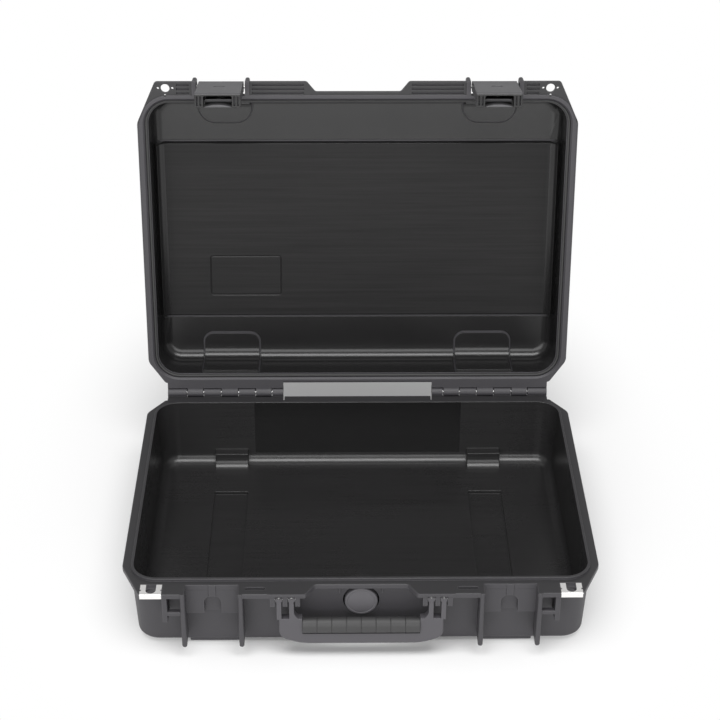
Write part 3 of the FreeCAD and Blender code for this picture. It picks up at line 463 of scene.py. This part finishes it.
def ring_group():
    """A round mark that an ejector pin or a gate leaves: 1 on a thin ring, alike on both sides."""
    group, given, end = new_group(
        "round_mark",
        [("Centre", "NodeSocketVector", (0, 0, 0)), ("Radius", "NodeSocketFloat", 6 * MM),
         ("Width", "NodeSocketFloat", 0.5 * MM)], ["Ring"])
    parts = parts_of(group, object_spots(group))
    mirrored = feed(group, add(group, "ShaderNodeCombineXYZ"),
                    {"X": math_node(group, "ABSOLUTE", parts["X"]),
                     "Y": parts["Y"], "Z": parts["Z"]})
    reach = vector_node(group, "DISTANCE", mirrored.outputs["Vector"], given["Centre"])["Value"]
    off = math_node(group, "ABSOLUTE", math_node(group, "SUBTRACT", reach, given["Radius"]))
    near = math_node(group, "SUBTRACT", 1.0, math_node(group, "DIVIDE", off, given["Width"]))
    feed(group, end, {"Ring": math_node(group, "MAXIMUM", near, 0.0)})
    return group


polished_patch = patch_group()
round_mark = ring_group()
print("effect groups:", [group.name for group in bpy.data.node_groups])

# %% [markdown]
# ## Plastic finishes
# The same black melt looks different where the mould was textured, satin or polished. One
# function builds them all: a dark colour, a grain that feeds the bump, gloss that varies a
# little, and edges rubbed slightly lighter. A moulding has no sharp edge. Real bevels would
# leave spikes at the smallest edges of these solids, so a Bevel node turns the normals round
# within a small radius, and each edge catches a thin line of light.

# %% Helpers for finishes


def new_finish(name):
    """A new material with its node tree and its shader."""
    material = bpy.data.materials.new(name)
    material.use_nodes = True
    return material, material.node_tree, material.node_tree.nodes["Principled BSDF"]


def use_group(tree, group, **values):
    """The outputs of a node group, placed with its own values."""
    node = add(tree, "ShaderNodeGroup", node_tree=group)
    labelled = {label.replace("_", " "): value for label, value in values.items()}
    return feed(tree, node, labelled).outputs


def gloss_between(tree, value, least, most):
    """A roughness that follows a value from 0 to 1."""
    node = add(tree, "ShaderNodeMapRange")
    return feed(tree, node, {"Value": value, "To Min": least, "To Max": most}).outputs["Result"]


def times_where(tree, colour, mask, times):
    """A colour that is multiplied by a number where the mask is 1."""
    node = add(tree, "ShaderNodeMix", data_type="RGBA", blend_type="MULTIPLY")
    feed(tree, node, {"Factor": mask, "A": colour, "B": (times, times, times, 1)})
    return node.outputs["Result"]


# %% Moulded plastic
gloss_below = 0.08
gloss_above = 0.10
streak_dull = 0.05
grain_height = 0.4 * MM
bevel_rays = 6
mark_height = 3.0


def moulded(name, colour, rough, grain_scale, bump, edge_colour, streaks=0.0, specular=0.5,
            patch=None, marks=(), edge_radius=0.8 * MM, groove_dull=0.0):
    """Dark plastic with grain and rounded edges and, where wanted, the other effects."""
    material, tree, shader = new_finish(name)
    grain = use_group(tree, mould_grain, Scale=grain_scale)
    tint = feed(tree, add(tree, "ShaderNodeMix", data_type="RGBA"),
                {"Factor": use_group(tree, rubbed_edges)["Edge"],
                 "A": (*colour, 1), "B": (*edge_colour, 1)}).outputs["Result"]
    gloss = gloss_between(tree, grain["Gloss"], rough - gloss_below, rough + gloss_above)
    height = grain["Height"]
    if streaks:
        lines = use_group(tree, flow_streaks)["Streak"]
        tint = times_where(tree, tint, lines, 1 + streaks)
        duller = math_node(tree, "MULTIPLY", lines, streak_dull * streaks)
        gloss = math_node(tree, "ADD", gloss, duller)
    if patch:
        area = use_group(tree, polished_patch, Half_width=patch["half_width"],
                         Beyond=patch["beyond"])["Patch"]
        tint = times_where(tree, tint, area, patch["darker"])
        glossier = math_node(tree, "MULTIPLY", area, patch["glossier"])
        gloss = math_node(tree, "SUBTRACT", gloss, glossier)
    if groove_dull:
        groove = use_group(tree, groove_shade)["Groove"]
        duller = math_node(tree, "MULTIPLY", groove, groove_dull)
        gloss = math_node(tree, "ADD", gloss, duller)
    for centre, radius in marks:
        ring = use_group(tree, round_mark, Centre=centre, Radius=radius)["Ring"]
        height = math_node(tree, "ADD", height, math_node(tree, "MULTIPLY", ring, mark_height))
    turned = feed(tree, add(tree, "ShaderNodeBevel", samples=bevel_rays), {"Radius": edge_radius})
    relief = feed(tree, add(tree, "ShaderNodeBump"),
                  {"Strength": bump, "Distance": grain_height, "Height": height,
                   "Normal": turned.outputs["Normal"]})
    feed(tree, shader, {"Base Color": tint, "Roughness": gloss, "Specular IOR Level": specular,
                        "Normal": relief.outputs["Normal"]})
    return material


# %% Finishes of the shells
pale_edge = (0.10, 0.097, 0.104)
inner_edge = (0.02, 0.02, 0.02)
polished = {"half_width": 122 * MM, "beyond": middle_y + opening_depth / 2 - 3.5 * MM,
            "glossier": 0.14, "darker": 0.35}
tab_mark = lid_swing @ Vector((150.5 * MM, middle_y + 153 * MM, rim_z + 44.5 * MM))
gate_mark = lid_swing @ Vector((0.0, middle_y + 4 * MM, rim_z + 46.5 * MM))
floor_mark = Vector((0.0, middle_y - 60 * MM, 7.4 * MM))
outside_plastic = moulded("outside_plastic", (0.044, 0.042, 0.047), 0.50, 900, 0.30, pale_edge)
# Painted shade: the outside plastic in a darker colour, for the up-facing top of the tub's flange
# and its tongue.
rim_shade_plastic = moulded("rim_shade_plastic", (0.026, 0.0252, 0.027), 0.46, 1100, 0.20, pale_edge)
# Inside the tub and the lid the gloss is the mould's real finish. The darker colours are painted
# shade, darkest on the lid's panel.
shaded_tub_plastic = moulded("shaded_tub_plastic", (0.0150, 0.0146, 0.0150), 0.27, 1400, 0.10, inner_edge,
                      streaks=0.3, specular=0.6, patch=polished, marks=((floor_mark, 7 * MM),),
                      edge_radius=1.4 * MM, groove_dull=0.9)
shaded_lid_wall_plastic = moulded("shaded_lid_wall_plastic", (0.0105, 0.0102, 0.0105), 0.23, 1400, 0.10,
                           inner_edge, marks=((tab_mark, 6 * MM),), edge_radius=0.7 * MM,
                           groove_dull=0.9)
shaded_panel_plastic = moulded("shaded_panel_plastic", (0.0070, 0.0068, 0.0070), 0.42, 1200, 0.14, inner_edge,
                        streaks=1.2, specular=0.26, marks=((gate_mark, 5 * MM),),
                        edge_radius=0.7 * MM, groove_dull=0.9)
# Painted shade: the lid's own plastic in a darker colour, for the front flange a step behind the
# bead of the rim.
step_shade_plastic = moulded("step_shade_plastic", (0.020, 0.0195, 0.021), 0.5, 900, 0.3, (0.05, 0.05, 0.05))
print("materials so far:", len(bpy.data.materials))

# %% Finishes of the small mouldings and the rubber
latch_plastic = moulded("latch_plastic", (0.070, 0.0690, 0.0735), 0.42, 1100, 0.18,
                        (0.09, 0.09, 0.092))
shade_plastic = moulded("shade_plastic", (0.007, 0.0069, 0.0071), 0.5, 1100, 0.18,
                        (0.03, 0.03, 0.03))
handle_plastic = moulded("handle_plastic", (0.073, 0.0697, 0.0774), 0.46, 1000, 0.2, pale_edge)
vent_plastic = moulded("vent_plastic", (0.096, 0.0925, 0.101), 0.48, 1000, 0.2,
                       (0.11, 0.107, 0.113))
grip_rubber = moulded("grip_rubber", (0.034, 0.0334, 0.0342), 0.56, 700, 0.30, (0.05, 0.05, 0.05),
                      specular=0.6)
seal_rubber = moulded("seal_rubber", (0.045, 0.045, 0.045), 0.6, 1200, 0.2, (0.06, 0.06, 0.06),
                      specular=0.35)
film = moulded("membrane_film", (0.75, 0.75, 0.73), 0.7, 2500, 0.2, (0.8, 0.8, 0.8))
print("materials so far:", len(bpy.data.materials))

# %% [markdown]
# ## Steel
# The padlock clips are bright stamped stainless steel, the pins are drawn wire. Brushing could
# come from an image. A noise that is stretched along one axis has no seams, and it moves the
# roughness and a fine bump together.

# %% Steel
steel_colour = (0.90, 0.89, 0.88, 1)
steel_metallic = 0.8
brush_stretch = (0.05, 1.0, 1.0)
brush_fineness = 1500.0
brush_bump = 0.08
brush_height = 0.1 * MM
shine_below = 0.07
shine_above = 0.10


def brushed_steel(name, rough):
    """Steel with fine lines along X."""
    material, tree, shader = new_finish(name)
    stretch = feed(tree, add(tree, "ShaderNodeMapping"),
                   {"Vector": object_spots(tree), "Scale": brush_stretch})
    lines = noise(tree, stretch.outputs["Vector"], brush_fineness, detail=3.0)
    relief = feed(tree, add(tree, "ShaderNodeBump"),
                  {"Strength": brush_bump, "Distance": brush_height, "Height": lines})
    gloss = gloss_between(tree, lines, rough - shine_below, rough + shine_above)
    feed(tree, shader, {"Metallic": steel_metallic, "Base Color": steel_colour,
                        "Roughness": gloss, "Normal": relief.outputs["Normal"]})
    return material


clip_steel = brushed_steel("clip_steel", 0.40)
pin_steel = brushed_steel("pin_steel", 0.28)
print("materials so far:", len(bpy.data.materials))

# %% [markdown]
# ## Clean mouldings
# The frame's solids are loose triangles. The mouldings could be modelled again by hand, but their
# shape is right. Each is copied instead, its triangles are merged into clean flat faces, and its
# fillets are shaded smooth, so that parts of it can get a finish of their own.

# %% Clean copies of the mouldings
merge_within = 0.01 * MM
flat_within = math.radians(0.3)


def clean_copy(node, name):
    """A merged copy of a CAD node, flat on its flat faces and smooth on its fillets."""
    source = nodes[node]
    piece = source.copy()
    piece.data = source.data.copy()
    piece.parent = None
    for key in list(piece.keys()):
        del piece[key]
    piece.name = name
    piece.data.name = name
    bpy.context.scene.collection.objects.link(piece)
    only(piece)
    bpy.ops.mesh.customdata_custom_splitnormals_clear()
    bpy.ops.object.mode_set(mode="EDIT")
    bpy.ops.mesh.select_all(action="SELECT")
    bpy.ops.mesh.remove_doubles(threshold=merge_within)
    bpy.ops.mesh.dissolve_limited(angle_limit=flat_within)
    bpy.ops.object.mode_set(mode="OBJECT")
    smooth(piece)
    return piece


base_moulding = clean_copy("base_shell", "base_moulding")
lid_moulding = clean_copy("lid_shell", "lid_moulding")
handle_moulding = clean_copy("handle_frame", "handle_moulding")
dress(base_moulding, outside_plastic, "base", "shell_plastic", "base_shell")
dress(lid_moulding, outside_plastic, "lid", "shell_plastic", "lid_shell")
dress(handle_moulding, handle_plastic, "handle", "handle_plastic", "handle_frame")
levers = {}
triggers = {}
for side in ("left", "right"):
    levers[side] = clean_copy("latch_lever_" + side, "latch_moulding_" + side)
    dress(levers[side], latch_plastic, "latch_" + side, "latch_plastic", "latch_lever_" + side)
    triggers[side] = clean_copy("latch_trigger_" + side, "trigger_moulding_" + side)
    dress(triggers[side], latch_plastic, "trigger_" + side, "latch_plastic",
          "latch_trigger_" + side)

# %% [markdown]
# ## Inside and outside
# The outside of the mould is textured, the inside is satin. The inner faces also get darker
# colours, which are painted shade for the closed-in tub and lid. The lining could be a piece of
# its own, but both are one moulding, so the inner faces only get another finish. They are found
# by their place: within the rounded footprint of the opening, which draws in a little towards
# the floor, and not facing away from it.

# %% Inner faces
wall_draft = 0.0545
footprint_margin = 0.9 * MM
lid_height = 49 * MM
lowest_inner = 3 * MM
panel_half_depth = 107.5 * MM
panel_half_width = 225 * MM
panel_relief = 5 * MM
slack = 0.3 * MM
wall_lean = 0.2
nearly_flat = 0.95


def within_opening(point, depth):
    """Whether a point lies within the rounded opening, which draws in with its depth."""
    room = footprint_margin - depth * wall_draft
    aside_x = max(abs(point.x) - opening_width / 2 + opening_corner, 0.0)
    aside_y = max(abs(point.y - middle_y) - opening_depth / 2 + opening_corner, 0.0)
    return math.hypot(aside_x, aside_y) < opening_corner + room


def on_closed_lid(point, normal):
    """A point and a normal of the lid, as on the closed case."""
    return lid_closed @ point, lid_closed.to_3x3() @ normal


def inner_tub(point, normal):
    """Whether a face belongs to the inside of the tub."""
    return (normal.z > -wall_lean and point.z > lowest_inner
            and within_opening(point, max(rim_z - point.z, 0.0)))


def inner_lid(point, normal):
    """Whether a face belongs to the inside of the lid."""
    spot, facing = on_closed_lid(point, normal)
    return (facing.z < wall_lean and spot.z < rim_z + lid_height + slack
            and within_opening(spot, max(spot.z - rim_z, 0.0)))


def lid_panel(point, normal):
    """Whether a face lies on the large panel inside the lid."""
    spot, facing = on_closed_lid(point, normal)
    return (facing.z < -nearly_flat and abs(spot.z - rim_z - lid_height) < panel_relief
            and abs(spot.y - middle_y) < panel_half_depth and abs(spot.x) < panel_half_width)


# %% Rims
bead_step = 1.9 * MM
rim_below = 0.5 * MM
flange_reach = 4 * MM
nearly_level = 0.9
partly_up = 0.3


def front_step(point, normal):
    """Whether a face lies on the lid's front flange, a step behind the bead of its rim, which gets
    painted shade.
    """
    spot, facing = on_closed_lid(point, normal)
    return facing.z < -nearly_level and abs(spot.z - rim_z - bead_step) < slack


def base_rim(point, normal):
    """Whether a face is on the top of the tub's flange or on its tongue, which gets painted shade.
    """
    return normal.z > partly_up and rim_z - rim_below < point.z < rim_z + flange_reach


# The up-facing top of the tub's flange and its tongue get painted shade.
paint(base_moulding, rim_shade_plastic, base_rim)
# The inside of the tub and of the lid gets its finishes, whose darker colours are painted shade.
paint(base_moulding, shaded_tub_plastic, inner_tub)
paint(lid_moulding, shaded_lid_wall_plastic, inner_lid)
# The lid's front flange behind the bead gets painted shade.
paint(lid_moulding, step_shade_plastic, front_step)
paint(lid_moulding, shaded_panel_plastic, lid_panel)

# %% Shaded parts of the latches
window_half = 15.6 * MM
plate_back = middle_y - 184.2 * MM
arm_end = rim_z - 53.4 * MM
lip_top = rim_z - 41 * MM


def latch_shade(side):
    """Tells which faces of a latch lie in its window or on the cored ends of its arms."""
    closed = latch_rest[side].inverted()

    def wanted(point, normal):
        spot = closed @ point
        within = abs(abs(spot.x) - latch_middle_x) < window_half
        return (within and spot.y > plate_back) or spot.z < arm_end
    return wanted


def trigger_shade(side):
    """Tells which faces of a trigger lie above its finger lip."""
    closed = latch_rest[side].inverted()
    return lambda point, normal: (closed @ point).z > lip_top


for side in ("left", "right"):
    paint(levers[side], shade_plastic, latch_shade(side), whole=False)
    paint(triggers[side], shade_plastic, trigger_shade(side), whole=False)

# %% [markdown]
# ## The seal
# A round rubber cord lies in the rabbet of the lid's rim. It could be drawn as a curve point by
# point. It is a rectangle with rounded corners, so a plane gets its corners bevelled, loses its
# face and becomes a curve, and the curve's own bevel gives it a round section.

# %% Seal of the lid
seal_radius = 1.5 * MM
seal_offset = 2.0 * MM
seal_rise = 4.9 * MM
fresh()
bpy.ops.mesh.primitive_plane_add(size=1, location=(0, middle_y, rim_z + seal_rise))
seal = named("lid_seal")
seal.scale = (opening_width + 2 * seal_offset, opening_depth + 2 * seal_offset, 1)
apply_all(seal)
bpy.ops.object.mode_set(mode="EDIT")
bpy.ops.mesh.select_all(action="SELECT")
bpy.ops.mesh.bevel(offset=opening_corner + seal_offset, segments=10, affect="VERTICES")
bpy.ops.mesh.select_all(action="SELECT")
bpy.ops.mesh.delete(type="ONLY_FACE")
bpy.ops.object.mode_set(mode="OBJECT")
bpy.ops.object.convert(target="CURVE")
seal.data.bevel_depth = seal_radius
seal.data.bevel_resolution = 3
bpy.ops.object.convert(target="MESH")
place(seal, lid_swing)
smooth(seal)
dress(seal, seal_rubber, "lid", "seal_rubber", "lid_gasket")

# %% [markdown]
# ## The grip
# The grip is a soft sleeve with eight finger rings, moulded on the bar of the handle. The rings
# could be cut into a long bar. It is easier to shape one: a box whose long edges are rounded
# almost to an oval and whose two ends are rounded as well. The Array modifier repeats it, and
# the joints between the rings stay as fine creases.

# %% Grip of the handle
grip_low, grip_high = (Vector(corner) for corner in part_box("handle_grip"))
ring_count = 8
ring_length = (grip_high.x - grip_low.x) / ring_count
ring_round = 6.9 * MM
crease = 0.8 * MM
fresh()
bpy.ops.mesh.primitive_cube_add(size=1, location=(grip_low.x + ring_length / 2,
                                                  (grip_low.y + grip_high.y) / 2,
                                                  (grip_low.z + grip_high.z) / 2))
grip = named("soft_grip")
grip.scale = (ring_length, grip_high.y - grip_low.y, grip_high.z - grip_low.z)
apply_all(grip)
bpy.ops.object.mode_set(mode="EDIT")
print("long edges:", pick(grip, "EDGE", lambda middle, way: abs(way.x) > 0.9))
bpy.ops.mesh.bevel(offset=ring_round, segments=9)
print("end edges:", pick(grip, "EDGE", lambda middle, way: abs(way.x) < 0.1))
bpy.ops.mesh.bevel(offset=crease, segments=3)
bpy.ops.object.mode_set(mode="OBJECT")
rings = grip.modifiers.new("rings", "ARRAY")
rings.count = ring_count
rings.use_relative_offset = False
rings.use_constant_offset = True
rings.constant_offset_displace = (ring_length, 0, 0)
apply_all(grip)
smooth(grip, 50)
dress(grip, grip_rubber, "handle", "grip_rubber", "handle_grip")

# %% [markdown]
# ## The vent cap
# The cap is a turned disc with a rounded rim, a shallow ring step and a slightly sunk face. It
# could be spun from a profile. With so few steps, a cylinder is laid on its side, and its front
# face is inset and moved step by step.

# %% Cap of the vent
cap_low, cap_high = (Vector(corner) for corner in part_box("vent_cap"))
cap_radius = (cap_high.x - cap_low.x) / 2
cap_middle_z = (cap_low.z + cap_high.z) / 2
cap_steps = ((2.6 * MM, 0.0), (0.5 * MM, 0.5 * MM), (1.2 * MM, -0.35 * MM), (7.0 * MM, -0.1 * MM))
cap_round = 1.8 * MM
rim_share = 0.98
fresh()
bpy.ops.mesh.primitive_cylinder_add(vertices=72, radius=cap_radius, depth=cap_high.y - cap_low.y,
                                    location=(0, (cap_low.y + cap_high.y) / 2, cap_middle_z),
                                    rotation=(math.radians(90), 0, 0))
cap = named("vent_cover")
apply_all(cap)
bpy.ops.object.mode_set(mode="EDIT")
print("front faces:", pick(cap, "FACE", lambda middle, normal: normal.y < -0.9))
for inset, sink in cap_steps:
    bpy.ops.mesh.inset(thickness=inset)
    bpy.ops.transform.translate(value=(0, sink, 0))


def front_rim(middle, way):
    """Whether an edge lies on the outer rim of the cap's front."""
    return (middle.y < cap_low.y + merge_within
            and math.hypot(middle.x, middle.z - cap_middle_z) > cap_radius * rim_share)


print("rim edges:", pick(cap, "EDGE", front_rim))
bpy.ops.mesh.bevel(offset=cap_round, segments=4)
bpy.ops.object.mode_set(mode="OBJECT")
smooth(cap)
dress(cap, vent_plastic, "base", "vent_plastic", "vent_cap")

# %% [markdown]
# ## Trigger springs
# Behind each latch plate a small wound spring pushes the trigger home. A coil could follow a
# curve of many points. Instead a ring of wire is swept round an axis by the Screw modifier,
# which keeps the pitch even. The coil is laid in its place on the closed latch, and it swings
# with the latch and the lid.

# %% One wound spring
wire_radius = 0.3 * MM
coil_radius = 2.8 * MM
coil_turns = 4
coil_steps = 28
spring_z = rim_z - 22 * MM
spring_front = middle_y - 183.65 * MM
spring_back = middle_y - 178.8 * MM


def wound_spring(name):
    """A closed coil of wire that rises along Z from the origin."""
    fresh()
    bpy.ops.mesh.primitive_circle_add(vertices=10, radius=wire_radius, location=(coil_radius, 0, 0),
                                      rotation=(math.radians(90), 0, 0))
    spring = named(name)
    apply_all(spring)
    sweep = spring.modifiers.new("sweep", "SCREW")
    sweep.angle = 2 * math.pi
    sweep.iterations = coil_turns
    sweep.steps = coil_steps
    sweep.render_steps = coil_steps
    sweep.screw_offset = (spring_back - spring_front - 2 * wire_radius) / coil_turns
    apply_all(spring)
    bpy.ops.object.mode_set(mode="EDIT")
    bpy.ops.mesh.select_mode(type="EDGE")
    bpy.ops.mesh.select_all(action="DESELECT")
    bpy.ops.mesh.select_non_manifold()
    bpy.ops.mesh.fill()
    bpy.ops.mesh.select_all(action="SELECT")
    bpy.ops.mesh.normals_make_consistent(inside=False)
    bpy.ops.object.mode_set(mode="OBJECT")
    return spring


# %% Springs of the triggers
for side, sign in (("left", -1), ("right", 1)):
    spring = wound_spring("trigger_coil_" + side)
    lay = (Matrix.Translation((sign * latch_middle_x, spring_front + wire_radius, spring_z))
           @ Matrix.Rotation(math.radians(-90), 4, "X"))
    place(spring, latch_rest[side] @ lay)
    smooth(spring, 60)
    dress(spring, pin_steel, "latch_" + side, "steel", "trigger_spring_" + side)
    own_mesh(spring)

# %% [markdown]
# ## Pieces that keep their shape
# The clips, the pins and the inner pieces of the vent are right as they were drawn. They could be
# copied as the mouldings were, but none of them needs a second finish, so the drawn piece stays
# and only gets its material.

# %% Finishes of the drawn pieces
plain_finishes = {"vent_body": vent_plastic, "vent_nut": vent_plastic, "vent_oring": seal_rubber,
                  "vent_membrane": film}
for side in ("left", "right"):
    plain_finishes["padlock_plate_" + side] = clip_steel
    for pin in ("hinge_pin_", "handle_pin_", "latch_pin_", "trigger_pin_"):
        plain_finishes[pin + side] = pin_steel
for node, finish in plain_finishes.items():
    nodes[node].data.materials.clear()
    nodes[node].data.materials.append(finish)
print("drawn pieces with a finish:", len(plain_finishes))
